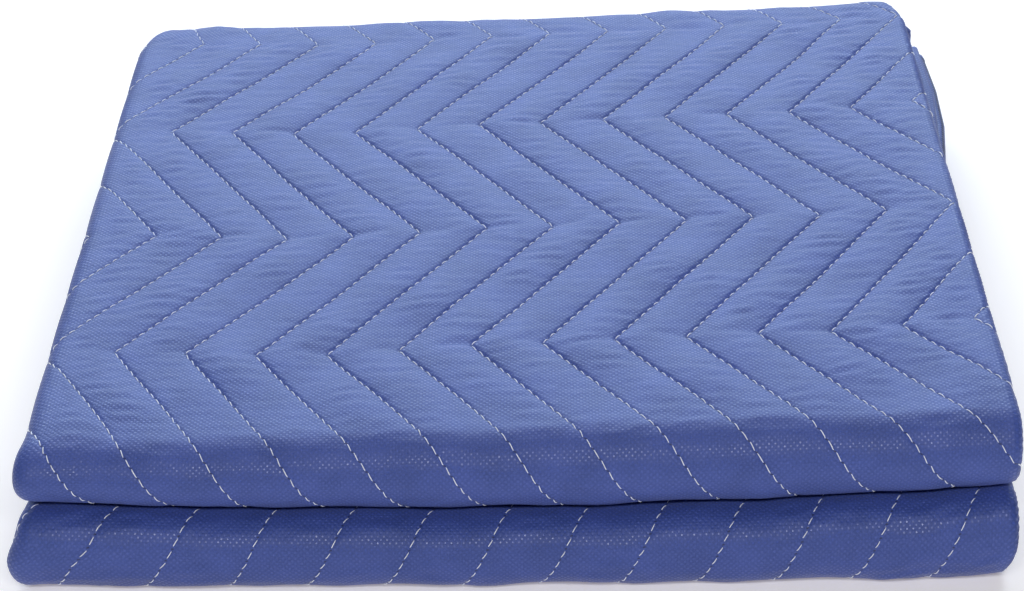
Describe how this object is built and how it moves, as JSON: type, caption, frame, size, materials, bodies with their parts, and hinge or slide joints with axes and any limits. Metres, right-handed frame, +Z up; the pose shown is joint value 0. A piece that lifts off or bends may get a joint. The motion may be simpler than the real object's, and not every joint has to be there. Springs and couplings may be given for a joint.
{
  "type": "folded moving blanket",
  "caption": "Quilted moving blanket folded into a thick flat pad, with two round folds at the front and zigzag stitch lines over all that shows.",
  "frame": {"origin": "centre of the underside, on the surface that the folded blanket lies on", "axes": "+Z up, -Y the front with its two stacked round folds, +X to the right seen from the front"},
  "size_m": [0.4806, 0.504, 0.0858],
  "materials": {
    "quilted_cloth": "matt blue nonwoven quilt cover, pressed all over with a fine dot pattern"
  },
  "bodies": {
    "root": {"blanket": "quilted_cloth"}
  },
  "joints": []
}
